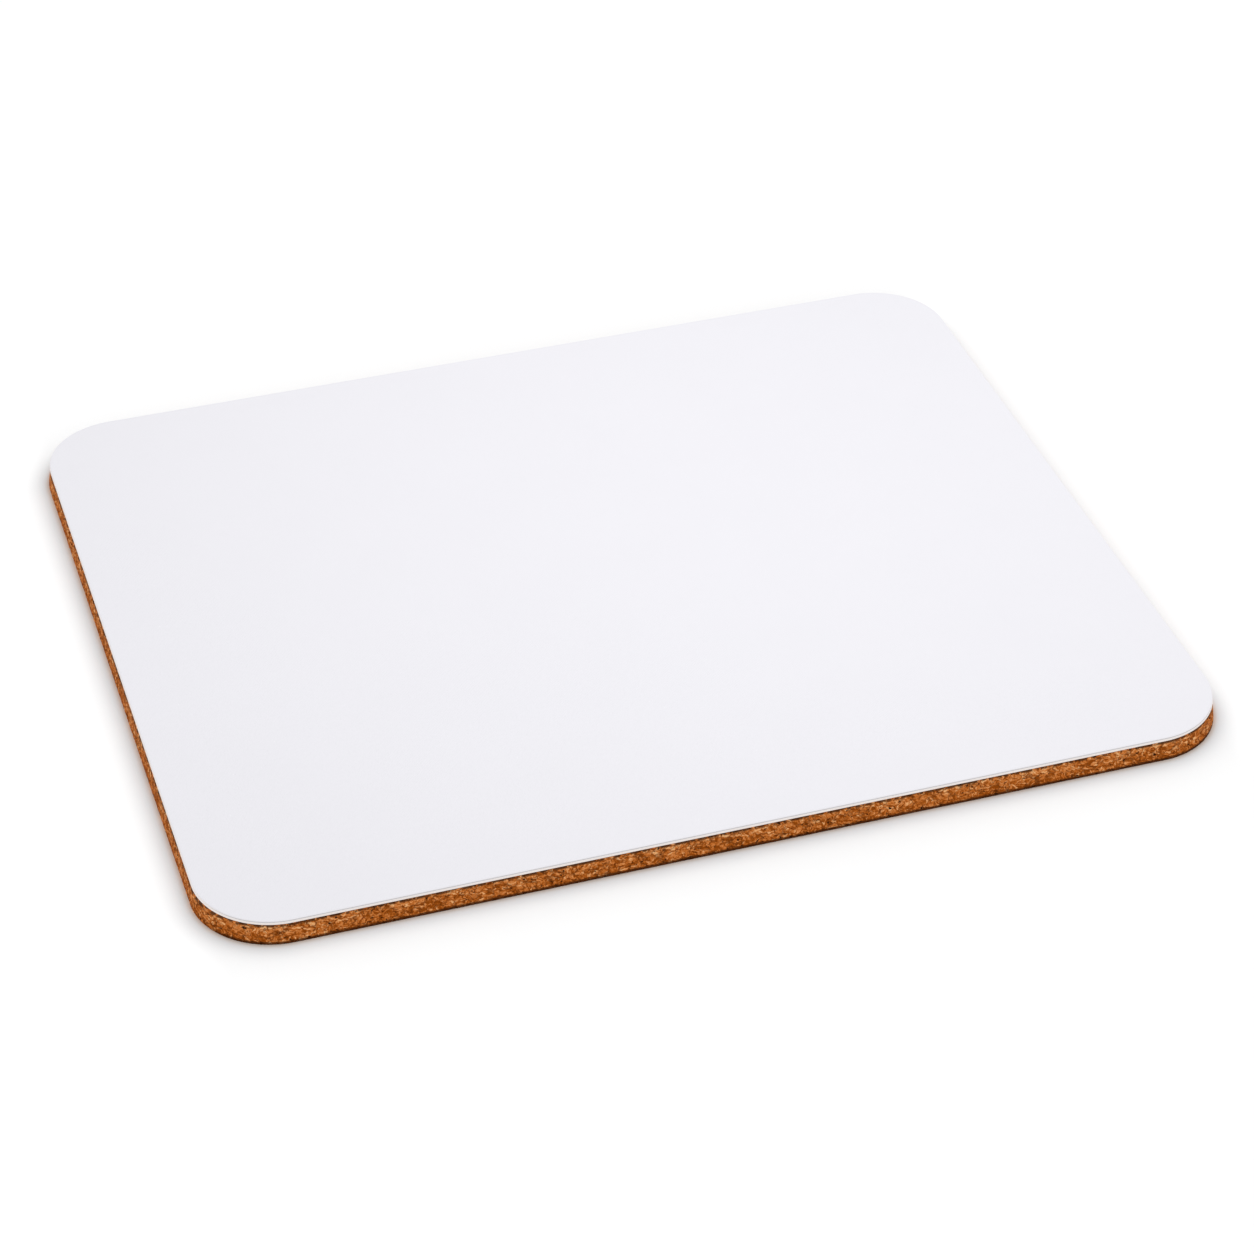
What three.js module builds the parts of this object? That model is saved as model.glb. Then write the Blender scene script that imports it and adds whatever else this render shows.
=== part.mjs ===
// A cork-backed mouse pad, in millimetres, +Z up. The origin is the middle of its underside, and X runs along
// its long side. It is a laminate: a cork base, a film of glue and a cloth top, pressed together as one sheet and
// then stamped out by a single steel-rule die, so all three layers follow the same outline and differ only in the
// section of their edge. Each layer is a loft: its edge section, swept round that outline. The blade's bevel spreads
// the layers as it goes down, so the whole cut leans in from the foot to the working face.
import * as THREE from 'three';

// The outline of the cut at its foot, where it is widest: a rectangle with round corners.
const PAD_LENGTH = 241.3;
const PAD_WIDTH = 203.2;
const CORNER_RADIUS = 19.05;

// The layers, from the desk up.
const CORK_THICKNESS = 5.0;
const GLUE_THICKNESS = 0.15;
const CLOTH_THICKNESS = 0.85;

// The edge section: the cut leans in by this much from the foot to the working face, the cork's lower arris is eased,
// the glue stops short of the cut as the layers spring back, and the blade rolls the cloth's upper edge down as it
// enters.
const CUT_LEAN = 0.8;
const CORK_ARRIS_RADIUS = 0.25;
const GLUE_SETBACK = 0.15;
const CLOTH_ROLL_RADIUS = 0.2;

// How finely the round stretches are divided.
const CORNER_STEPS = 20;
const ARRIS_STEPS = 5;

const QUARTER_TURN = Math.PI / 2;

// The heights above the desk at which the glue and the cloth start and the pad ends.
const GLUE_HEIGHT = CORK_THICKNESS;
const CLOTH_HEIGHT = GLUE_HEIGHT + GLUE_THICKNESS;
const PAD_HEIGHT = CLOTH_HEIGHT + CLOTH_THICKNESS;

// The die's four corners, anticlockwise from the one at the front right, as the signs of their X and Y.
const CORNER_SIGNS = [[1, -1], [1, 1], [-1, 1], [-1, -1]];

// How far the cut has leaned in at a height above the desk.
function leanAt(height) {
  return (CUT_LEAN * height) / PAD_HEIGHT;
}

// The outline at a setback inside the foot of the cut: four corner arcs, joined by the straight sides.
function cutOutline(setback) {
  const radius = CORNER_RADIUS - setback;
  return CORNER_SIGNS.flatMap(([signX, signY], corner) => {
    const centreX = signX * (PAD_LENGTH / 2 - CORNER_RADIUS);
    const centreY = signY * (PAD_WIDTH / 2 - CORNER_RADIUS);
    const start = (corner - 1) * QUARTER_TURN;
    const arc = new THREE.EllipseCurve(centreX, centreY, radius, radius, start, start + QUARTER_TURN);
    return arc.getPoints(CORNER_STEPS);
  });
}

// A quarter round of an edge section, where x is the setback from the cut and y the height above the desk.
// It touches the cut face, and its centre is one radius inside that.
function quarterRound(radius, centreHeight, start, end) {
  const clockwise = true;
  return new THREE.EllipseCurve(radius, centreHeight, radius, radius, start, end, clockwise).getPoints(ARRIS_STEPS);
}

// Sweeps an edge section round the leaning cut, and closes it with a flat lower and a flat upper face.
function loftLayer(section) {
  const rings = section.map(({ x: setback, y: height }) => {
    return cutOutline(setback + leanAt(height)).map((point) => [point.x, point.y, height]);
  });
  const count = rings[0].length;
  const indices = [];
  for (let ring = 0; ring < rings.length - 1; ring += 1) {
    for (let i = 0; i < count; i += 1) {
      const low = ring * count + i;
      const lowNext = ring * count + ((i + 1) % count);
      const high = low + count;
      const highNext = lowNext + count;
      indices.push(low, lowNext, highNext, low, highNext, high);
    }
  }
  const topRing = (rings.length - 1) * count;
  for (const [a, b, c] of THREE.ShapeUtils.triangulateShape(cutOutline(0), [])) {
    indices.push(c, b, a);
    indices.push(topRing + a, topRing + b, topRing + c);
  }
  const geometry = new THREE.BufferGeometry();
  geometry.setAttribute('position', new THREE.Float32BufferAttribute(rings.flat(2), 3));
  geometry.setIndex(indices);
  geometry.computeVertexNormals();
  return geometry;
}

function layerMesh(name, section, finish) {
  const mesh = new THREE.Mesh(loftLayer(section), new THREE.MeshStandardMaterial(finish));
  mesh.name = name;
  return mesh;
}

// The base: pressed cork granules, eased where it meets the desk.
function corkBase() {
  const radius = Math.min(CORK_ARRIS_RADIUS, CORK_THICKNESS);
  const section = [
    ...quarterRound(radius, radius, -QUARTER_TURN, -2 * QUARTER_TURN),
    new THREE.Vector2(0, GLUE_HEIGHT),
  ];
  return layerMesh('cork_base', section, { color: 0xa8662f, roughness: 0.8, metalness: 0 });
}

// The bond: a thin film that shows only as a dark line under the cloth.
function glueFilm() {
  const section = [
    new THREE.Vector2(GLUE_SETBACK, GLUE_HEIGHT),
    new THREE.Vector2(GLUE_SETBACK, CLOTH_HEIGHT),
  ];
  return layerMesh('glue_film', section, { color: 0x3a2110, roughness: 0.5, metalness: 0 });
}

// The top: white polyester cloth, with its cut edge rolled over at the working face.
function clothTop() {
  const radius = Math.min(CLOTH_ROLL_RADIUS, CLOTH_THICKNESS);
  const section = [
    new THREE.Vector2(0, CLOTH_HEIGHT),
    ...quarterRound(radius, PAD_HEIGHT - radius, 2 * QUARTER_TURN, QUARTER_TURN),
  ];
  return layerMesh('cloth_top', section, { color: 0xeeedf2, roughness: 0.9, metalness: 0 });
}

const mousePad = new THREE.Group();
mousePad.add(corkBase(), glueFilm(), clothTop());

export default mousePad;
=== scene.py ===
# %% [markdown]
# # A mouse pad of cork and cloth
#
# A mouse pad is a laminate: a slab of pressed cork, a film of glue and a sheet of polyester cloth, stamped
# out together by one die. This lesson dresses the CAD solids of such a pad. The cork and the cloth are
# modelled anew, because their look is in the cut edge and in the grain, and the glue keeps its solid and
# only gets a finish.
#
# The first step is always the same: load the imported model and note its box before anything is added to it.

# %% Load the frame
import math

import bmesh
import bpy
from mathutils import Matrix, Vector


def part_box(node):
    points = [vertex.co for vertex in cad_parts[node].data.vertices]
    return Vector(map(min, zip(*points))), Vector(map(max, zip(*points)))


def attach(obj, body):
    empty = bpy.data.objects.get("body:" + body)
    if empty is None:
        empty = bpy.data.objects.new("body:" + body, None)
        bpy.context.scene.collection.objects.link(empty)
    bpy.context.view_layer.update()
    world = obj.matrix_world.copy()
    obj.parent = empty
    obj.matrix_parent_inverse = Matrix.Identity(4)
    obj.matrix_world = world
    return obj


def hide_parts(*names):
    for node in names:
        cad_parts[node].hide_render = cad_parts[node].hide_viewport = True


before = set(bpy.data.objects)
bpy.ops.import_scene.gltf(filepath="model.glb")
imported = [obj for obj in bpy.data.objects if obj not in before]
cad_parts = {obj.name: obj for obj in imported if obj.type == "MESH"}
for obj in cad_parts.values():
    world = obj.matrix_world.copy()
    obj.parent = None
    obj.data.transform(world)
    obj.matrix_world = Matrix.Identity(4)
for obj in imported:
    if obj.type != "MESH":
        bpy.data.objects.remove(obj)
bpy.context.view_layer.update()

print("nodes:", sorted(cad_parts))

# %% [markdown]
# ## The sizes
#
# Every piece takes its size and place from the CAD boxes, so a change there is followed here. A box doesn't
# tell a corner's radius, nor the small radii of the edge section, so these are written down as real sizes,
# in metres.
#
# The die's blade is a wedge, so the cut isn't quite upright: it leans in from the foot to the top. The boxes
# do tell how much, because the cork is widest just above its rounded lower arris, and the cloth at its
# underside.

# %% Read the sizes
MILLIMETRE = 0.001
CORNER_RADIUS = 19.05 * MILLIMETRE
CORK_ARRIS_RADIUS = 0.25 * MILLIMETRE
CLOTH_ROLL_RADIUS = 0.2 * MILLIMETRE

cork_low, cork_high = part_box("cork_base")
cloth_low, cloth_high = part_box("cloth_top")
lean = (cork_high.x - cloth_high.x) / (cloth_low.z - cork_low.z - CORK_ARRIS_RADIUS)
foot_length = cork_high.x - cork_low.x + 2 * lean * CORK_ARRIS_RADIUS
foot_width = cork_high.y - cork_low.y + 2 * lean * CORK_ARRIS_RADIUS
cork_thickness = cork_high.z - cork_low.z
cloth_thickness = cloth_high.z - cloth_low.z
print(f"foot {foot_length:.4f} x {foot_width:.4f} m, leaning in {lean:.4f} m per metre of height")
print(f"cork {cork_thickness:.4f} m thick, cloth {cloth_thickness:.5f} m thick")

# %% [markdown]
# ## Wires: node trees written as sums
#
# Shader and geometry nodes are drawn with wires, but a sum is easier to read as a sum. This small class
# wraps one output socket. Adding, multiplying and so on with it puts a Math node in the tree and gives the
# new wire, and `node` adds any other kind of node. The settings go in first, because some of them change
# which sockets exist.
#
# Sockets are called by name or number. A Mix node has the sockets for numbers, vectors and colours in one
# row under the same names, so the ones for colours are picked by number.

# %% The Wire class
MIX_FACTOR = 0
MIX_FIRST_COLOUR = 6
MIX_SECOND_COLOUR = 7
MIXED_COLOUR = 2


class Wire:
    """One output socket of a node tree, which can be used in sums with numbers and other wires."""

    def __init__(self, tree, socket):
        self.tree = tree
        self.socket = socket

    @staticmethod
    def node(tree, kind, settings=None, sockets=None, output=0):
        """Adds a node of that kind, with its settings and the values or wires of its sockets."""
        made = tree.nodes.new(kind)
        for name, value in (settings or {}).items():
            if name == "stops":
                stops = made.color_ramp.elements
                for number, (place, colour) in enumerate(value):
                    stop = stops[number] if number < len(stops) else stops.new(place)
                    stop.position = place
                    stop.color = (*colour, 1.0)
            else:
                setattr(made, name, value)
        for name, value in (sockets or {}).items():
            if isinstance(value, Wire):
                tree.links.new(value.socket, made.inputs[name])
            else:
                made.inputs[name].default_value = value
        return Wire(tree, made.outputs[output]) if len(made.outputs) else None

    def out(self, name):
        """Another output of the same node."""
        return Wire(self.tree, self.socket.node.outputs[name])

    def maths(self, operation, *values):
        """A Math node on this wire and up to two more values."""
        sockets = dict(enumerate((self, *values)))
        return Wire.node(self.tree, "ShaderNodeMath", {"operation": operation}, sockets)

    def vector(self, operation, other):
        """A Vector Math node on this wire and another vector."""
        return Wire.node(self.tree, "ShaderNodeVectorMath", {"operation": operation}, {0: self, 1: other})

    def rise(self, low, high):
        """0 below low, 1 above high and a smooth step between. With low above high it falls instead."""
        settings = {"interpolation_type": "SMOOTHSTEP", "clamp": True}
        sockets = {"Value": self, "From Min": low, "From Max": high}
        return Wire.node(self.tree, "ShaderNodeMapRange", settings, sockets)

    def blend(self, first, second):
        """The first colour where this wire is 0 and the second where it is 1."""
        settings = {"data_type": "RGBA", "clamp_factor": True}
        first, second = [c if isinstance(c, Wire) else (*c, 1.0) for c in (first, second)]
        sockets = {MIX_FACTOR: self, MIX_FIRST_COLOUR: first, MIX_SECOND_COLOUR: second}
        return Wire.node(self.tree, "ShaderNodeMix", settings, sockets, MIXED_COLOUR)

    def parts(self):
        """The three parts of a vector or colour, each as a wire of its own."""
        split = Wire.node(self.tree, "ShaderNodeSeparateXYZ", sockets={0: self})
        return split, split.out("Y"), split.out("Z")

    def squared(self):
        """This wire times itself."""
        return self.maths("POWER", 2.0)

    def __add__(self, other):
        return self.maths("ADD", other)

    def __sub__(self, other):
        return self.maths("SUBTRACT", other)

    def __rsub__(self, other):
        return Wire.node(self.tree, "ShaderNodeMath", {"operation": "SUBTRACT"}, {0: other, 1: self})

    def __mul__(self, other):
        return self.maths("MULTIPLY", other)

    def __truediv__(self, other):
        return self.maths("DIVIDE", other)

    def __rtruediv__(self, other):
        return Wire.node(self.tree, "ShaderNodeMath", {"operation": "DIVIDE"}, {0: other, 1: self})

    __radd__ = __add__
    __rmul__ = __mul__


def noise(place, per_mm, detail=2.0, roughness=0.5):
    """Noise from 0 to 1, about that many bumps per millimetre. Its Color output has three of them."""
    sockets = {"Vector": place, "Scale": per_mm, "Detail": detail, "Roughness": roughness}
    return Wire.node(place.tree, "ShaderNodeTexNoise", {"noise_dimensions": "3D"}, sockets)


def cells(place, per_mm, feature):
    """Voronoi cells, about that many per millimetre. Feature F1 gives distances to each cell's middle."""
    settings = {"voronoi_dimensions": "3D", "feature": feature}
    return Wire.node(place.tree, "ShaderNodeTexVoronoi", settings, {"Vector": place, "Scale": per_mm})


print("wires ready")

# %% [markdown]
# ## Modelling helpers
#
# All three layers share the die's outline, so the steps that make it are written once: a plane is scaled to
# the pad's size, its four corners are rounded by a vertex bevel, and its sides are divided, until only a
# ring of short edges is left. Subdivide makes 100 cuts at most, so a side is divided in two rounds. A slab
# is then the ring pulled up into a wall, drawn in at the top by the lean of the cut, and closed by a face at
# each end.

# %% Modelling helpers
X, Y, Z = range(3)
COARSE_CUTS = 8
ROUND_PROFILE = 0.5
WALL_FACE_CORNERS = 4
SAME_HEIGHT = 0.001 * MILLIMETRE
RIM_BAND = 1.5
TO_MILLIMETRES = (1000.0, 1000.0, 1000.0)


def select(piece, kind, wanted):
    """In edit mode, selects just the EDGE or FACE items that wanted(item) names, and counts them."""
    bpy.ops.mesh.select_mode(type=kind)
    bpy.ops.mesh.select_all(action="DESELECT")
    mesh = bmesh.from_edit_mesh(piece.data)
    items = mesh.edges if kind == "EDGE" else mesh.faces
    chosen = [item for item in items if wanted(item)]
    for item in chosen:
        item.select_set(True)
    bmesh.update_edit_mesh(piece.data)
    return len(chosen)


def along(edge, axis):
    """How far an edge reaches along an axis."""
    first, second = edge.verts
    return abs(first.co[axis] - second.co[axis])


def level_at(points, height):
    """Whether all the points lie at that height."""
    return all(abs(point.z - height) < SAME_HEIGHT for point in points)


def at_height(item, height):
    """Whether an edge or face lies level at that height."""
    return level_at([vert.co for vert in item.verts], height)


def closes_slab(face):
    """Whether a face is one of the two that close a slab. They have more corners than the wall's faces."""
    return len(face.verts) > WALL_FACE_CORNERS


def drawn_in(height):
    """How far the cut has leaned in at that height."""
    return lean * (height - cork_low.z)


def setback(point):
    """How far inside the die's cut a point is. Further in than the corner's radius it stays at that."""
    beyond_x = max(abs(point.x) - foot_length / 2 + CORNER_RADIUS, 0.0)
    beyond_y = max(abs(point.y) - foot_width / 2 + CORNER_RADIUS, 0.0)
    return CORNER_RADIUS - math.hypot(beyond_x, beyond_y) - drawn_in(point.z)


def die_cut_ring(name, height, spacing):
    """Starts a piece as a ring of edges on the die's outline, at that height, and stays in edit mode."""
    length = foot_length - 2 * drawn_in(height)
    width = foot_width - 2 * drawn_in(height)
    radius = CORNER_RADIUS - drawn_in(height)
    bpy.ops.object.select_all(action="DESELECT")
    bpy.ops.mesh.primitive_plane_add(size=1.0, location=(0.0, 0.0, 0.0))
    piece = bpy.context.object
    piece.name = name
    piece.data.name = name
    bpy.ops.object.mode_set(mode="EDIT")
    bpy.ops.transform.resize(value=(length, width, 1.0))
    bpy.ops.transform.translate(value=(0.0, 0.0, height))
    corner_steps = round(radius * math.pi / 2 / spacing)
    bpy.ops.mesh.bevel(offset=radius, segments=corner_steps, profile=ROUND_PROFILE, affect="VERTICES")
    bpy.ops.mesh.delete(type="ONLY_FACE")
    for axis, side in ((X, length), (Y, width)):
        select(piece, "EDGE", lambda edge: along(edge, axis) > radius)
        straight = side - 2 * radius
        fine_cuts = round(straight / spacing / (COARSE_CUTS + 1)) - 1
        bpy.ops.mesh.subdivide(number_cuts=COARSE_CUTS)
        bpy.ops.mesh.subdivide(number_cuts=fine_cuts)
    return piece


def raise_slab(piece, low, high):
    """Pulls the ring up from low to high along the leaning cut and closes it with a face at each end."""
    bpy.ops.mesh.select_all(action="SELECT")
    bpy.ops.mesh.extrude_edges_move(TRANSFORM_OT_translate={"value": (0.0, 0.0, high - low)})
    bpy.ops.mesh.select_all(action="SELECT")
    bpy.ops.mesh.normals_make_consistent(inside=False)
    select(piece, "EDGE", lambda edge: at_height(edge, high))
    bpy.ops.transform.shrink_fatten(value=drawn_in(low) - drawn_in(high))
    for height in (low, high):
        select(piece, "EDGE", lambda edge: at_height(edge, height))
        bpy.ops.mesh.edge_face_add()
    bpy.ops.mesh.select_all(action="SELECT")
    bpy.ops.mesh.normals_make_consistent(inside=False)


def round_rim(piece, height, radius, steps):
    """Rounds the rim at that height."""
    select(piece, "EDGE", lambda edge: at_height(edge, height))
    bpy.ops.mesh.bevel(offset=radius, segments=steps, profile=ROUND_PROFILE, affect="EDGES")


def divide_wall(piece, thickness, spacing):
    """Divides the upright edges, which are over half a slab's thickness, into rows about spacing apart."""
    count = select(piece, "EDGE", lambda edge: along(edge, Z) > thickness / 2)
    mesh = bmesh.from_edit_mesh(piece.data)
    height = next(edge.calc_length() for edge in mesh.edges if edge.select)
    bpy.ops.mesh.subdivide(number_cuts=round(height / spacing) - 1)
    return count


def grid_underside(piece, height, spacing):
    """Puts a grid of small faces in place of the lower face, joined to the rim by a band of triangles."""
    select(piece, "FACE", lambda face: closes_slab(face) and face.normal.z < 0)
    bpy.ops.mesh.delete(type="ONLY_FACE")
    bpy.ops.mesh.primitive_grid_add(
        x_subdivisions=round(foot_length / spacing),
        y_subdivisions=round(foot_width / spacing),
        size=1.0,
        location=(0.0, 0.0, height),
    )
    bpy.ops.transform.resize(value=(foot_length, foot_width, 1.0))

    def by_the_rim(face):
        return at_height(face, height) and setback(face.calc_center_median()) < RIM_BAND * spacing

    select(piece, "FACE", by_the_rim)
    bpy.ops.mesh.delete(type="FACE")
    select(piece, "EDGE", lambda edge: edge.is_boundary)
    bpy.ops.mesh.fill(use_beauty=True)
    bpy.ops.mesh.select_all(action="SELECT")
    bpy.ops.mesh.normals_make_consistent(inside=False)


def geometry_tree(name):
    """A geometry tree, with the wires of its incoming mesh and of each point's place and normal."""
    tree = bpy.data.node_groups.new(name, "GeometryNodeTree")
    for way in ("INPUT", "OUTPUT"):
        tree.interface.new_socket("Geometry", in_out=way, socket_type="NodeSocketGeometry")
    mesh = Wire.node(tree, "NodeGroupInput")
    place = Wire.node(tree, "GeometryNodeInputPosition")
    normal = Wire.node(tree, "GeometryNodeInputNormal")
    return tree, mesh, place, normal


def push_points(piece, tree, mesh, offset):
    """Ends a geometry tree by moving the mesh's points by that offset, and applies it to the piece."""
    moved = Wire.node(tree, "GeometryNodeSetPosition", sockets={"Geometry": mesh, "Offset": offset})
    Wire.node(tree, "NodeGroupOutput", sockets={"Geometry": moved})
    bpy.ops.object.mode_set(mode="OBJECT")
    modifier = piece.modifiers.new(tree.name, "NODES")
    modifier.node_group = tree
    bpy.ops.object.modifier_apply(modifier=modifier.name)


def triangles(piece):
    """How many triangles a piece has."""
    return sum(len(face.vertices) - 2 for face in piece.data.polygons)


print("helpers ready")

# %% [markdown]
# ## Room for the baked finish
#
# When the pad leaves Blender, the finish of each piece is baked into one square picture, through a UV map
# that the export knows by its name. An automatic unwrap would waste most of that square. Here the flat face
# that shows gets its full width. The wall is laid out under it as four strips, each of one side and the
# corner after it, and the face that no one sees gets a small patch beside them. The places are worked out in
# pixels of the picture.

# %% Layout helper
MAP_NAME = "OFBake"
MAP_SIDE = 1024
MAP_MARGIN = 5
MAP_STRIP = 24
HIDDEN_SHARE = 0.1
SIDES = 4


def facing(side, point):
    """With a side turned to the front: a point's way along it, its straight length, and how far out."""
    turned = Matrix.Rotation(-side * math.pi / 2, 3, "Z") @ point
    length, width = (foot_length, foot_width) if side % 2 == 0 else (foot_width, foot_length)
    straight = length - 2 * CORNER_RADIUS
    return turned.x + straight / 2, straight, CORNER_RADIUS - turned.y - width / 2


def side_of(point):
    """The side of a wall point, anticlockwise from 0 at the front. A corner goes with the side before it."""
    for side in range(SIDES):
        way, _, outward = facing(side, point)
        if way > 0 and outward > 0:
            return side


def along_side(side, point):
    """How far along a side and then round its corner a wall point is."""
    way, straight, outward = facing(side, point)
    return way if way < straight else straight + CORNER_RADIUS * math.atan2(way - straight, outward)


def flat_pixels(points, scale, left, lower):
    """The places of a flat face's points, drawn to that scale with its lower left corner there."""
    return [
        (left + (point.x + foot_length / 2) * scale, lower + (point.y + foot_width / 2) * scale)
        for point in points
    ]


def lay_out(piece, shown, hidden):
    """Gives a piece its map for the bake. Shown and hidden are the heights of its two flat faces."""
    bpy.ops.object.mode_set(mode="OBJECT")
    mesh = piece.data
    scale = (MAP_SIDE - 2 * MAP_MARGIN) / foot_length
    small = scale * HIDDEN_SHARE
    small_left = MAP_SIDE - MAP_MARGIN - foot_length * small
    strip_step = MAP_STRIP + MAP_MARGIN
    over_strips = MAP_MARGIN + SIDES * strip_step
    stretch = MAP_STRIP / abs(shown - hidden)
    low = min(shown, hidden)
    spots = []
    for face in mesh.polygons:
        points = [mesh.vertices[index].co for index in face.vertices]
        if level_at(points, shown):
            pixels = flat_pixels(points, scale, MAP_MARGIN, over_strips)
        elif level_at(points, hidden):
            pixels = flat_pixels(points, small, small_left, MAP_MARGIN)
        else:
            side = side_of(face.center)
            lower = MAP_MARGIN + (side - 1) % SIDES * strip_step
            pixels = [
                (MAP_MARGIN + along_side(side, point) * scale, lower + (point.z - low) * stretch)
                for point in points
            ]
        spots.extend(pixel / MAP_SIDE for pair in pixels for pixel in pair)
    mesh.uv_layers.new(name=MAP_NAME).uv.foreach_set("vector", spots)


print("map of", MAP_SIDE, "pixels")

# %% [markdown]
# ## The grain of pressed cork
# Their dark colour is glue stain, and painted shade under the cloth's edge.
#
# The base is made of cork granules, crushed to a millimetre or two, mixed with a binder and pressed flat. On
# a cut face each granule shows as a patch of its own brown, longer than it is high. Growth lines run through
# it, its own way round, and show as pale slivers and dark streaks. Here and there a seam gapes or a chip has
# torn out. Voronoi cells are just such patches. Their coordinates are first bent by noise, so that no
# granule has straight sides, and stretched in Z, so that they lie flat. Each cell's random colour then turns
# the coordinates of the growth lines. Along the upper rim the blade has crumbled the cork in patches, and
# glue has run into them, less far at the front.
#
# The same fields are wanted twice, as dents in the mesh and as colours in the finish. So they are made by
# one function that works in a geometry tree and in a shader tree alike, and the dents fall where the seams
# are drawn. In the values below, a pair says where a field starts to rise and where it is full.

# %% Grain fields
# The cells, and the noise that bends them.
GRANULE_MM = 1.8
CHIP_MM = 0.7
HOLLOW_MM = 3.6
PRESSED_FLAT = 1.7
MIDDLE = (0.5, 0.5, 0.5)
BEND_PER_MM = 1.1
BEND_MM = (1.8, 1.8, 1.1)

# The tones and lines inside a granule.
CHIP_SHARE = 0.5
GROWTH_PER_MM = (0.7, 0.7, 3.0)
SLIVER_PER_MM = (0.25, 0.25, 1.75)
FIBRE_PER_MM = 3.2
PALE_SLIVER = (0.58, 0.64)
DARK_STREAK = (0.42, 0.36)

# The seams that gape, the pits of torn chips and the hollows of lost granules.
GAPE_PER_MM = 0.5
SHUT_SEAM = 0.42
THINNEST_SEAM = 0.02
SEAM_SIDE = (0.9, 0.0)
TORN_CHIP = (0.90, 0.93)
PIT_SIDE = (0.6, 0.3)
LOST_GRANULE = (0.86, 0.90)
HOLLOW_SIDE = (0.55, 0.2)
HOLLOW_SETBACK_MM = (1.5, 2.5)

# How far the glue stain and painted shade reach down from the upper rim, how patchy, and where the front is.
STAIN_AND_SHADE_MM = 1.7
FRONT_STAIN_AND_SHADE_MM = 0.75
STAIN_AND_SHADE_SIDE = (-1.0, -0.5)
RAGGED_PER_MM = 0.75
RAGGED_PATCH = (0.43, 0.51)
FRONT_MM = (-88.0, -97.0)


def by_the_front(place_mm):
    """1 along the front edge and 0 on the other three, as a wire."""
    return place_mm.parts()[Y].rise(*FRONT_MM)


def setback_mm(place_mm):
    """How far inside the die's cut a place is, as setback() has it, as a wire in millimetres."""
    x, y, height = place_mm.parts()
    beyond_x = (x.maths("ABSOLUTE") - (foot_length / 2 - CORNER_RADIUS) / MILLIMETRE).maths("MAXIMUM", 0.0)
    beyond_y = (y.maths("ABSOLUTE") - (foot_width / 2 - CORNER_RADIUS) / MILLIMETRE).maths("MAXIMUM", 0.0)
    reach = (beyond_x * beyond_x + beyond_y * beyond_y).maths("SQRT")
    return CORNER_RADIUS / MILLIMETRE - reach - (height - cork_low.z / MILLIMETRE) * lean


def cork_grain(place_mm):
    """The fields of the cork at a place given in millimetres, by name."""
    bend = noise(place_mm, BEND_PER_MM, detail=3.0).out("Color").vector("SUBTRACT", MIDDLE)
    bent = bend.vector("MULTIPLY", BEND_MM).vector("ADD", place_mm)
    pressed = bent.vector("MULTIPLY", (1.0, 1.0, PRESSED_FLAT))
    granule = cells(pressed, 1 / GRANULE_MM, "F1")
    granule_edge = cells(pressed, 1 / GRANULE_MM, "DISTANCE_TO_EDGE")
    chip = cells(pressed, 1 / CHIP_MM, "F1")
    hollow = cells(pressed, 1 / HOLLOW_MM, "F1")
    tone, turn, _ = granule.out("Color").parts()
    chip_tone, _, torn = chip.out("Color").parts()
    missing, _, _ = hollow.out("Color").parts()
    own_way = Wire.node(place_mm.tree, "ShaderNodeVectorRotate", {"rotation_type": "AXIS_ANGLE"}, {
        "Vector": bent,
        "Axis": granule.out("Color").vector("SUBTRACT", MIDDLE),
        "Angle": turn * (2 * math.pi),
    })
    sliver = noise(own_way.vector("MULTIPLY", SLIVER_PER_MM), 1.0, detail=1.0)
    gape = (noise(place_mm, GAPE_PER_MM) - SHUT_SEAM).maths("MAXIMUM", THINNEST_SEAM)
    well_inside = setback_mm(place_mm).rise(*HOLLOW_SETBACK_MM)
    below_glue = place_mm.parts()[Z] - cork_high.z / MILLIMETRE
    stain = STAIN_AND_SHADE_MM + by_the_front(place_mm) * (FRONT_STAIN_AND_SHADE_MM - STAIN_AND_SHADE_MM)
    ragged = noise(place_mm, RAGGED_PER_MM, detail=3.0).rise(*RAGGED_PATCH)
    return {
        "tone": tone * (1 - CHIP_SHARE) + chip_tone * CHIP_SHARE,
        "growth": noise(own_way.vector("MULTIPLY", GROWTH_PER_MM), 1.0),
        "pale": sliver.rise(*PALE_SLIVER),
        "dark": sliver.rise(*DARK_STREAK),
        "seam": (granule_edge / gape).rise(*SEAM_SIDE),
        "pit": torn.rise(*TORN_CHIP) * chip.rise(*PIT_SIDE),
        "hollow": missing.rise(*LOST_GRANULE) * hollow.rise(*HOLLOW_SIDE) * well_inside,
        "crumbled": (below_glue / stain).rise(*STAIN_AND_SHADE_SIDE) * ragged,
        "fibre": noise(place_mm, FIBRE_PER_MM, roughness=0.6),
    }


print("cork granules of", GRANULE_MM, "mm, chips of", CHIP_MM, "mm")

# %% [markdown]
# ## The cork slab
#
# The slab is the die's ring pulled up to the cork's height, with its lower rim rounded where handling has
# eased it, and its upper rim just broken. Its wall is cut into small faces, fine enough to hold the
# granules, and its underside gets a wider grid. A geometry tree then pushes each point in along its normal:
# a little at the seams, deeper at the pits, and along the upper rim, where the blade has crumbled the cork
# under the glue. On the underside, which is sanded flat, only the hollows of lost granules are left.
# Sculpting or a displacement in the material would also do, but the first can't be repeated exactly and the
# second is lost on a mesh that leaves Blender.

# %% Model the cork slab
WALL_SPACING = 0.34 * MILLIMETRE
UNDERSIDE_SPACING = 1.1 * MILLIMETRE
ARRIS_STEPS = 3
UPPER_BREAK = 0.2 * MILLIMETRE
BREAK_STEPS = 1
GRANULE_SWELL = 0.10 * MILLIMETRE
SEAM_DEPTH = 0.12 * MILLIMETRE
PIT_DEPTH = 0.45 * MILLIMETRE
CRUMBLE_DEPTH = 0.06 * MILLIMETRE
HOLLOW_DEPTH = 0.6 * MILLIMETRE
CORK_SMOOTH_ANGLE = math.radians(50)

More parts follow.
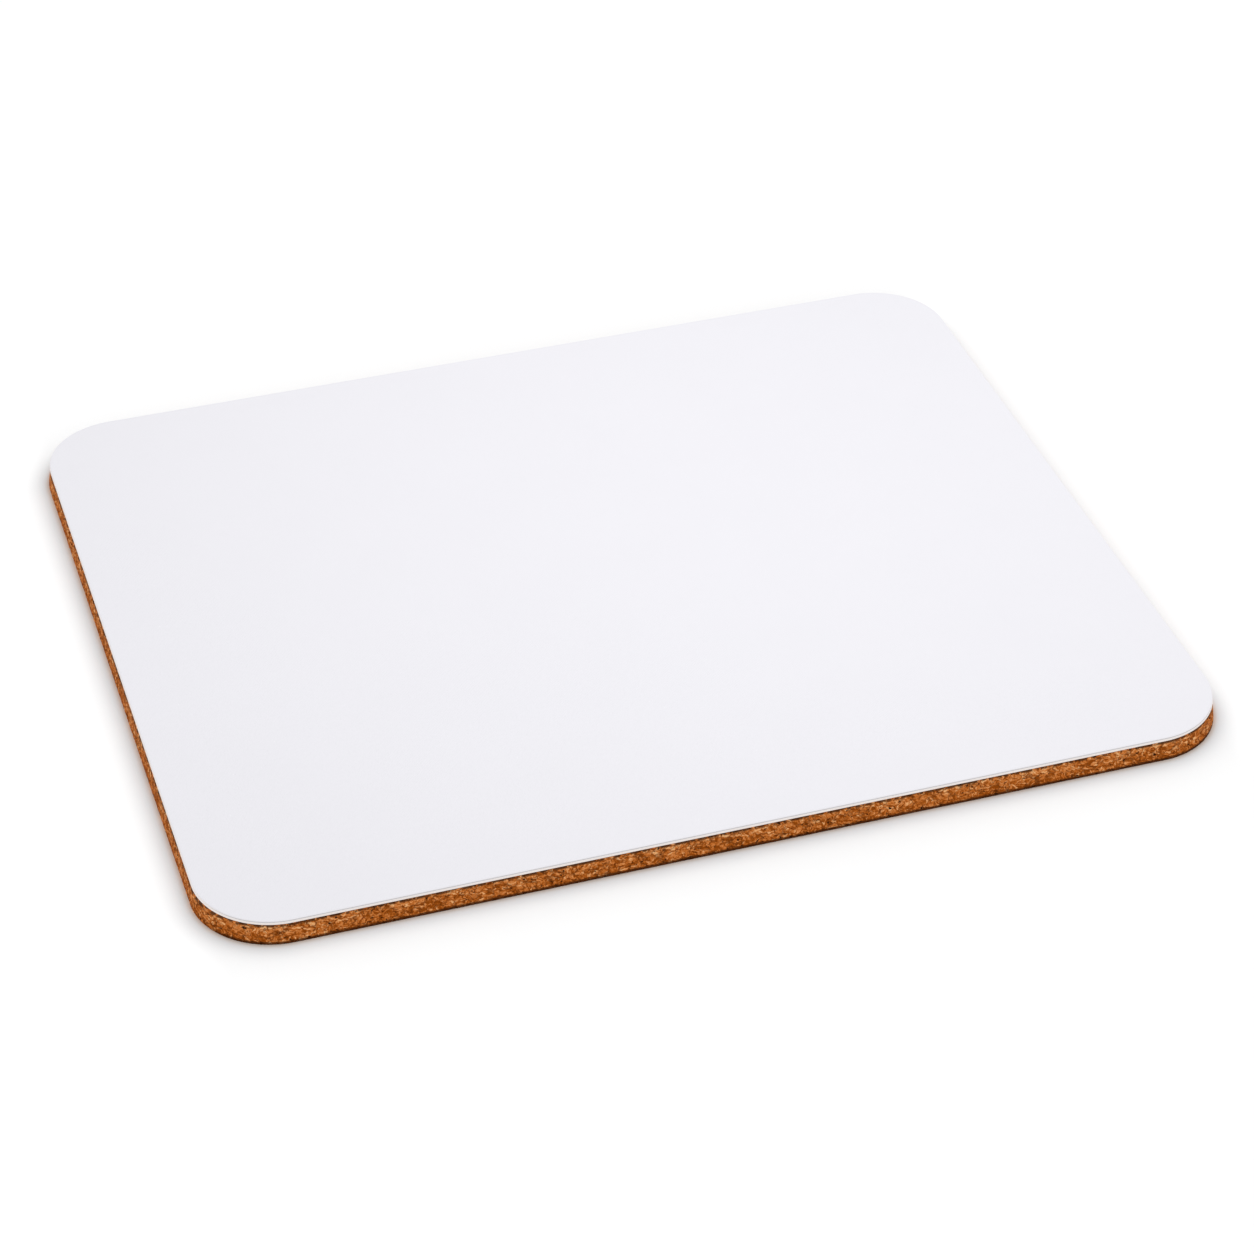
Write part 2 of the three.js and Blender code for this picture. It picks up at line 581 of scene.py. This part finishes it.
cork = die_cut_ring("cork_slab", cork_low.z, WALL_SPACING)
raise_slab(cork, cork_low.z, cork_high.z)
round_rim(cork, cork_low.z, CORK_ARRIS_RADIUS, ARRIS_STEPS)
round_rim(cork, cork_high.z, UPPER_BREAK, BREAK_STEPS)
columns = divide_wall(cork, cork_thickness, WALL_SPACING)
grid_underside(cork, cork_low.z, UNDERSIDE_SPACING)
lay_out(cork, shown=cork_low.z, hidden=cork_high.z)

relief, slab, place, normal = geometry_tree("granule_relief")
grain = cork_grain(place.vector("MULTIPLY", TO_MILLIMETRES))
lifted = place.parts()[Z].rise(cork_low.z, cork_low.z + CORK_ARRIS_RADIUS)
swell = (grain["tone"] - 1) * GRANULE_SWELL
dents = grain["seam"] * SEAM_DEPTH + grain["pit"] * PIT_DEPTH + grain["crumbled"] * CRUMBLE_DEPTH
push = (swell - dents) * lifted - grain["hollow"] * HOLLOW_DEPTH
push_points(cork, relief, slab, normal.vector("MULTIPLY", push))
bpy.ops.object.shade_smooth_by_angle(angle=CORK_SMOOTH_ANGLE)
print("cork slab:", columns, "columns,", triangles(cork), "triangles")

# %% [markdown]
# ## The cork's finish
#
# Cork has no single brown. Each granule has its own tone, and its growth lines run from bark to blond, so
# both feed one ramp of browns. The wall is painted paler towards its top and darker towards its foot, as
# painted shade. The seams are dark with binder, and the pits and hollows are painted nearly black because no
# light comes out of them. The upper rim is darkened where it has crumbled, by glue stain and by painted
# shade under the cloth's edge. Along the front the lower rim is painted dark, as painted shade at the foot.
#
# All of it is read from Object coordinates, which follow the mesh in metres, so the pattern is cut by the
# edge as the real one is: the same granule shows on the wall and on the underside. A picture wrapped round
# the slab would have to be matched along every rim.

# %% Cork finish
# The ramp of browns. A new ramp has its two ends already, so they come first.
BARK = (0.29, 0.062, 0.001)
RUSSET = (0.54, 0.143, 0.017)
AMBER = (0.645, 0.206, 0.044)
HONEY = (0.755, 0.282, 0.082)
BLOND = (0.92, 0.487, 0.205)
BROWNS = [(0.0, BARK), (1.0, BLOND), (0.3, RUSSET), (0.5, AMBER), (0.72, HONEY)]

# What moves the colour along the ramp.
TONE_WEIGHT = 0.35
GROWTH_WEIGHT = 2.1
FIBRE_WEIGHT = 0.7
DARKER_BY = 1.25
PALE_LIFT = 0.5
DARK_DROP = 0.45
PAINTED_SHADE_PER_MM = 0.07
WALL_MM = (1.2, 0.4)

# What covers the browns, and how well.
BINDER = (0.080, 0.020, 0.003)
BINDER_COVER = 0.6
PIT = (0.020, 0.005, 0.001)
HOLLOW_COVER = 0.8
GLUE_STAIN_AND_SHADE = (0.080, 0.029, 0.010)
STAIN_AND_SHADE_COVER = 0.9
# Painted shade along the foot of the front wall.
FRONT_FOOT_SHADE = (0.045, 0.012, 0.002)
FOOT_SHADE_COVER = 0.88
FOOT_SHADE_MM = (1.0, 0.5)

# The feel of the surface.
FIBRE_BUMP = 0.5
PIT_BUMP = 2
CORK_BUMP = {"Strength": 0.5, "Distance": 0.1 * MILLIMETRE}
CORK_ROUGHNESS = 0.75
SEAM_ROUGHER_BY = 0.2
CORK_GLOSS = 0.06


def new_finish(name):
    """An empty material, its tree, and the Object coordinates in millimetres."""
    material = bpy.data.materials.new(name)
    material.use_nodes = True
    tree = material.node_tree
    tree.nodes.clear()
    place = Wire.node(tree, "ShaderNodeTexCoord", output="Object")
    return material, tree, place.vector("MULTIPLY", TO_MILLIMETRES)


def close_finish(tree, **sockets):
    """Ends a material's tree with a Principled shader that has those sockets."""
    named = {name.replace("_", " "): value for name, value in sockets.items()}
    shader = Wire.node(tree, "ShaderNodeBsdfPrincipled", sockets=named)
    Wire.node(tree, "ShaderNodeOutputMaterial", sockets={"Surface": shader})


def put_on(piece, material):
    """Makes a finish the only one of a piece."""
    piece.data.materials.clear()
    piece.data.materials.append(material)
    print(material.name, "on", piece.name)


def cork_finish():
    """Browns by grain, dark seams and pits, glue stain, painted shade under the cloth and at the front foot.
    """
    material, tree, place_mm = new_finish("pressed_cork")
    grain = cork_grain(place_mm)
    height = place_mm.parts()[Z]
    wall = setback_mm(place_mm).rise(*WALL_MM)
    shade = grain["tone"] * TONE_WEIGHT + grain["growth"] * GROWTH_WEIGHT
    shade = shade + grain["fibre"] * FIBRE_WEIGHT - DARKER_BY
    shade = shade + grain["pale"] * PALE_LIFT - grain["dark"] * DARK_DROP
    # Painted shade: the wall gets darker towards its foot and paler towards its top.
    shade = shade + (height - cork_thickness / 2 / MILLIMETRE) * wall * PAINTED_SHADE_PER_MM
    colour = Wire.node(tree, "ShaderNodeValToRGB", {"stops": BROWNS}, {0: shade})
    colour = (grain["seam"] * BINDER_COVER).blend(colour, BINDER)
    colour = grain["pit"].maths("MAXIMUM", grain["hollow"] * HOLLOW_COVER).blend(colour, PIT)
    # Glue stain, and painted shade under the cloth's edge, where the upper rim has crumbled.
    colour = (grain["crumbled"] * STAIN_AND_SHADE_COVER).blend(colour, GLUE_STAIN_AND_SHADE)
    # Painted shade along the foot of the front wall.
    painted_foot_shade = height.rise(*FOOT_SHADE_MM) * wall * by_the_front(place_mm)
    colour = (painted_foot_shade * FOOT_SHADE_COVER).blend(colour, FRONT_FOOT_SHADE)
    bumps = grain["fibre"] * FIBRE_BUMP + grain["growth"] - grain["seam"] - grain["pit"] * PIT_BUMP
    bump = Wire.node(tree, "ShaderNodeBump", sockets={**CORK_BUMP, "Height": bumps})
    roughness = CORK_ROUGHNESS + grain["seam"] * SEAM_ROUGHER_BY
    close_finish(tree, Base_Color=colour, Roughness=roughness, Normal=bump, Specular_IOR_Level=CORK_GLOSS)
    return material


put_on(cork, cork_finish())
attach(cork, "root")
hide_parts("cork_base")

# %% [markdown]
# ## The cloth
#
# The working surface is a sheet of white polyester not quite a millimetre thick. The blade enters from this
# side, so the upper edge is rolled down. It is made like the slab. Its top face is inset by a narrow flat
# border, which keeps the smooth shading of the roll off the rest of the top. The cut ends of the yarns stand
# a little in and out, so the wall gets some noise. A simulation would add nothing: the sheet is bonded flat
# and has nowhere to hang or fold.

# %% Model the cloth
CLOTH_SPACING = 0.4 * MILLIMETRE
CLOTH_ROW_SPACING = 0.1 * MILLIMETRE
ROLL_STEPS = 4
FLAT_BORDER = 0.5 * MILLIMETRE
YARN_END_DEPTH = 0.05 * MILLIMETRE
YARN_ENDS_PER_MM = 1.6
CLOTH_SMOOTH_ANGLE = math.radians(40)

cloth = die_cut_ring("cloth_sheet", cloth_low.z, CLOTH_SPACING)
raise_slab(cloth, cloth_low.z, cloth_high.z)
round_rim(cloth, cloth_high.z, CLOTH_ROLL_RADIUS, ROLL_STEPS)
divide_wall(cloth, cloth_thickness, CLOTH_ROW_SPACING)
select(cloth, "FACE", lambda face: closes_slab(face) and face.normal.z > 0)
bpy.ops.mesh.inset(thickness=FLAT_BORDER, depth=0.0)
lay_out(cloth, shown=cloth_high.z, hidden=cloth_low.z)

fray, sheet, place, normal = geometry_tree("yarn_ends")
upright = 1 - normal.parts()[Z].maths("ABSOLUTE")
ends = noise(place.vector("MULTIPLY", TO_MILLIMETRES), YARN_ENDS_PER_MM)
push = ends * upright * -YARN_END_DEPTH
push_points(cloth, fray, sheet, normal.vector("MULTIPLY", push))
bpy.ops.object.shade_smooth_by_angle(angle=CLOTH_SMOOTH_ANGLE)
print("cloth:", triangles(cloth), "triangles")

# %% [markdown]
# ## The cloth's finish
#
# From a step away the cloth is plain white with a hint of blue. Close to, it is a plain weave: warp and weft
# yarns that pass over and under each other by turns. Two sines cross to make a soft chequer that says which
# yarn is on top, and the yarn on top gives its round back to the height.
#
# The rolled edge has no brightener on it: the cut yarns are a warmer white than the top, and are painted
# brighter as a painted highlight. Along the front, a thin grey line of painted shade runs along the roll.
# Both are drawn by the depth below the top.

# %% Cloth finish
WHITE = (0.886, 0.878, 0.920)
YARN_SHADE = (0.816, 0.808, 0.849)
YARN_MM = 0.32
LOOSE_PER_MM = 0.5
LOOSE_MM = (0.25, 0.25, 0.0)
WARP_ON_TOP = (-0.25, 0.25)
DRIFT_PER_MM = 0.05
DRIFT_SHARE = 0.2
CUT_WHITE_AND_HIGHLIGHT = (0.98, 0.915, 0.885)
CUT_FROM_MM = (0.04, 0.14)
PAINTED_ROLL_SHADE = (0.61, 0.615, 0.645)
ROLL_SHADE_FROM_MM = (0.10, 0.16)
ROLL_SHADE_TO_MM = (0.36, 0.28)
WEAVE_BUMP = {"Strength": 0.35, "Distance": 0.06 * MILLIMETRE}
CLOTH_ROUGHNESS = 0.9
CLOTH_GLOSS = 0.2


def weave_height(place_mm):
    """The height of a plain weave, from 0 between the yarns to 1 on their backs."""
    loose = noise(place_mm, LOOSE_PER_MM).out("Color").vector("SUBTRACT", MIDDLE)
    x, y, _ = loose.vector("MULTIPLY", LOOSE_MM).vector("ADD", place_mm).parts()
    across = (x * (math.pi / YARN_MM)).maths("SINE")
    down = (y * (math.pi / YARN_MM)).maths("SINE")
    warp_on_top = (across * down).rise(*WARP_ON_TOP)
    warp_back = across.maths("ABSOLUTE")
    weft_back = down.maths("ABSOLUTE")
    return warp_back * warp_on_top + weft_back * (1 - warp_on_top)


def cloth_finish():
    """A white weave, a warmer cut edge with a painted highlight, and painted shade along the front roll."""
    material, tree, place_mm = new_finish("white_cloth")
    weave = weave_height(place_mm)
    drift = noise(place_mm, DRIFT_PER_MM)
    # Between the yarns the white is painted darker, as painted shade in the grooves of the weave.
    colour = (weave * (1 - DRIFT_SHARE) + drift * DRIFT_SHARE).blend(YARN_SHADE, WHITE)
    below_top = cloth_high.z / MILLIMETRE - place_mm.parts()[Z]
    # The cut edge: a warmer white, painted brighter as a painted highlight.
    colour = below_top.rise(*CUT_FROM_MM).blend(colour, CUT_WHITE_AND_HIGHLIGHT)
    # A thin line of painted shade along the front roll.
    painted_roll_shade = below_top.rise(*ROLL_SHADE_FROM_MM) * below_top.rise(*ROLL_SHADE_TO_MM) * by_the_front(place_mm)
    colour = painted_roll_shade.blend(colour, PAINTED_ROLL_SHADE)
    bump = Wire.node(tree, "ShaderNodeBump", sockets={**WEAVE_BUMP, "Height": weave})
    close_finish(
        tree, Base_Color=colour, Roughness=CLOTH_ROUGHNESS, Normal=bump, Specular_IOR_Level=CLOTH_GLOSS,
    )
    return material


put_on(cloth, cloth_finish())
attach(cloth, "root")
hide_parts("cloth_top")
cloth_size = cloth_high - cloth_low
corner_loss = (4 - math.pi) * (CORNER_RADIUS - drawn_in(cloth_low.z)) ** 2
cloth_area = cloth_size.x * cloth_size.y - corner_loss
print(f"cut flat to {cloth_size.x:.4f} x {cloth_size.y:.4f} m, {cloth_area:.5f} square metres")

# %% [markdown]
# ## The glue
#
# Only the rim of the glue film can be seen, as a dark line between the cloth and the cork. Its CAD solid has
# the right shape already, so it stays and gets a finish: dried brown glue, a little glossy, with cork dust
# in it.

# %% Glue finish
GLUE = (0.17, 0.072, 0.027)
CORK_DUST = (0.60, 0.280, 0.110)
DUST_PER_MM = 1.1
DUST_PATCH = (0.57, 0.46)
GLUE_ROUGHNESS = 0.4
DUST_ROUGHER_BY = 0.4


def glue_finish():
    """Brown glue, with patches of cork dust that take off its gloss."""
    material, tree, place_mm = new_finish("dried_glue")
    dust = noise(place_mm, DUST_PER_MM).rise(*DUST_PATCH)
    colour = dust.blend(GLUE, CORK_DUST)
    close_finish(tree, Base_Color=colour, Roughness=GLUE_ROUGHNESS + dust * DUST_ROUGHER_BY)
    return material


put_on(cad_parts["glue_film"], glue_finish())

# %% [markdown]
# ## The light
#
# The pad lies in even studio light. The world lights it softly from all over, and a large lamp hangs over
# it, a little to the right, so the cloth is brightest there and falls off slowly towards the front left.
# Together they give a white level: a colour renders about as it is written. Where the camera sees the sky
# directly it is plain white, and the lamp itself is kept out of the picture. A lamp's power is worked out
# from the level that it adds on a surface right below it, because that is what can be read in a picture. For
# a square lamp this is a sum over its face.

# %% World and lamp
SKY_WHITE = (1.0, 1.0, 1.0, 1.0)
SKY_LEVEL = 0.80
LAMP_LEVEL = 0.27
LAMP_PLACE = (0.065, 0.03, 0.32)
LAMP_SIZE = 0.36
LAMP_SPOTS = 40


def level_per_watt(size, height):
    """How bright a watt of a square lamp makes a white surface below its middle, where 1 is white."""
    spots = [((spot + 0.5) / LAMP_SPOTS - 0.5) * size for spot in range(LAMP_SPOTS)]
    squares = [x * x + y * y + height * height for x in spots for y in spots]
    return sum(height ** 2 / square ** 2 for square in squares) / len(squares) / math.pi ** 2


def seen_directly(tree):
    """1 for a ray from the camera, or from a mirror or glass that the camera sees."""
    ray = Wire.node(tree, "ShaderNodeLightPath", output="Is Camera Ray")
    return ray.maths("MAXIMUM", ray.out("Is Glossy Ray")).maths("MAXIMUM", ray.out("Is Transmission Ray"))


world = bpy.data.worlds.new("studio")
world.use_nodes = True
bpy.context.scene.world = world
sky = world.node_tree
sky.nodes.clear()
strength = SKY_LEVEL + seen_directly(sky) * (1 - SKY_LEVEL)
Wire.node(sky, "ShaderNodeOutputWorld", sockets={
    "Surface": Wire.node(sky, "ShaderNodeBackground", sockets={"Color": SKY_WHITE, "Strength": strength}),
})

bpy.ops.object.light_add(type="AREA", location=LAMP_PLACE)
lamp = bpy.context.object
lamp.name = "overhead_lamp"
lamp.visible_camera = False
lamp.data.size = LAMP_SIZE
lamp.data.energy = LAMP_LEVEL / level_per_watt(LAMP_SIZE, LAMP_PLACE[Z])
print(f"lamp of {lamp.data.energy:.2f} W")

# %% [markdown]
# ## The floor
#
# The floor is a white sheet. It gets less light far from the lamp, so to the camera alone it is painted the
# brighter the further away it is, which keeps it white to the edge of the picture. The shadow at the pad's
# foot is the light that goes missing, but near the foot the paint changes it. Beside the two short ends the
# sheet is painted a little whiter still, a painted light that softens the shadow there.
#
# Close to the pad the paint is a touch cooler, because the cork throws its orange on the floor and the
# shadow ought to be a neutral grey. Only in the last millimetre is it painted darker and warm, a painted
# shadow where the floor lies under the rounded foot. From below the lamp isn't seen, so the sheet is painted
# for the sky alone.
#
# The floor is cut away under the pad, a little inside its rim, so that the underside can be looked at from
# below. It is made from the die's ring too: the ring is drawn in, and its edges are extruded and scaled far
# out.

# %% Floor
FLOOR_GROWTH = 25.0
FLOOR_SPACING = 2.0 * MILLIMETRE
UNDER_RIM = 2.0 * MILLIMETRE
FLOOR_GAP = 0.02 * MILLIMETRE
FLOOR_WHITE = 0.88
FLOOR_SEEN = (1.02, 1.02, 1.02)
SIDE_FLOOR_SEEN = (1.11, 1.11, 1.11)
SIDE_FADE_MM = 4.0
FLOOR_BY_CORK = (0.88, 0.95, 0.99)
CORK_GLOW_MM = 3.0
PAINTED_FOOT_SHADOW = (0.77, 0.685, 0.615)
FOOT_SHADOW_MM = 0.9
LAMP_SPREAD = 1.29


def lamplight(place_mm):
    """How much of the lamp's level reaches the floor at a place, from 1 below the lamp to 0 far away."""
    x, y, _ = place_mm.parts()
    reach = LAMP_PLACE[Z] * LAMP_SPREAD / MILLIMETRE
    across = (x - LAMP_PLACE[X] / MILLIMETRE) / reach
    beyond = (y - LAMP_PLACE[Y] / MILLIMETRE) / reach
    spread = across * across + beyond * beyond + 1
    return 1 / (spread * spread)


def floor_tint(place_mm, seen_from_above):
    """The floor's colour to the camera: lighter by the ends, cool by the cork, painted shadow at the foot.
    """
    end_mm = foot_length / 2 / MILLIMETRE
    way = place_mm.parts()[X].maths("ABSOLUTE")
    away = setback_mm(place_mm)
    glow = 1 / (1 + (away / CORK_GLOW_MM).squared())
    # Painted shadow on the floor close under the pad's foot.
    foot = 1 / (1 + (away / FOOT_SHADOW_MM).squared()).squared()
    # Painted light beside the short ends, which softens the shadow there.
    tint = way.rise(end_mm - SIDE_FADE_MM, end_mm + SIDE_FADE_MM).blend(FLOOR_SEEN, SIDE_FLOOR_SEEN)
    tint = (seen_from_above * glow).blend(tint, FLOOR_BY_CORK)
    return (seen_from_above * foot).blend(tint, PAINTED_FOOT_SHADOW)


def floor_finish():
    """Plain white paint in the light, and to the camera white at the level of light that it gets."""
    material, tree, place_mm = new_finish("white_floor")
    seen = seen_directly(tree)
    from_above = 1 - Wire.node(tree, "ShaderNodeNewGeometry", output="Backfacing")
    light = SKY_LEVEL + from_above * LAMP_LEVEL * lamplight(place_mm)
    level = (1 - seen) * FLOOR_WHITE + seen / light
    tint = floor_tint(place_mm, seen * from_above)
    white = Wire.node(tree, "ShaderNodeVectorMath", {"operation": "SCALE"}, {0: tint, "Scale": level})
    paint = Wire.node(tree, "ShaderNodeBsdfDiffuse", sockets={"Color": white})
    Wire.node(tree, "ShaderNodeOutputMaterial", sockets={"Surface": paint})
    return material


floor = die_cut_ring("floor", cork_low.z - FLOOR_GAP, FLOOR_SPACING)
bpy.ops.mesh.select_all(action="SELECT")
bpy.ops.transform.resize(value=(1 - 2 * UNDER_RIM / foot_length, 1 - 2 * UNDER_RIM / foot_width, 1.0))
bpy.ops.mesh.extrude_edges_move()
bpy.ops.transform.resize(value=(FLOOR_GROWTH, FLOOR_GROWTH, 1.0))
bpy.ops.object.mode_set(mode="OBJECT")
put_on(floor, floor_finish())
print("floor of", tuple(round(side, 2) for side in floor.dimensions), "m")

# %% [markdown]
# ## The camera
#
# The camera stands level, to the left of the middle, and looks down on the pad through a long lens, so the
# far side is only a little smaller than the near one. Its place is given as a photographer would: the point
# it looks at, the distance, and the two angles.

# %% Camera
AIM = (0.000325, -0.015794, 0.0)
DISTANCE = 0.86141
AZIMUTH = math.radians(-17.763)
ELEVATION = math.radians(36.762)
SENSOR_MM = 36.0
LENS_MM = 103.419

to_camera = Vector((
    math.sin(AZIMUTH) * math.cos(ELEVATION),
    -math.cos(AZIMUTH) * math.cos(ELEVATION),
    math.sin(ELEVATION),
))
bpy.ops.object.camera_add(
    location=Vector(AIM) + to_camera * DISTANCE,
    rotation=(math.pi / 2 - ELEVATION, 0.0, AZIMUTH),
)
camera = bpy.context.object
camera.data.sensor_width = SENSOR_MM
camera.data.lens = LENS_MM
bpy.context.scene.camera = camera
bpy.context.scene.view_settings.view_transform = "Standard"
print("camera", tuple(round(c, 4) for c in camera.location))
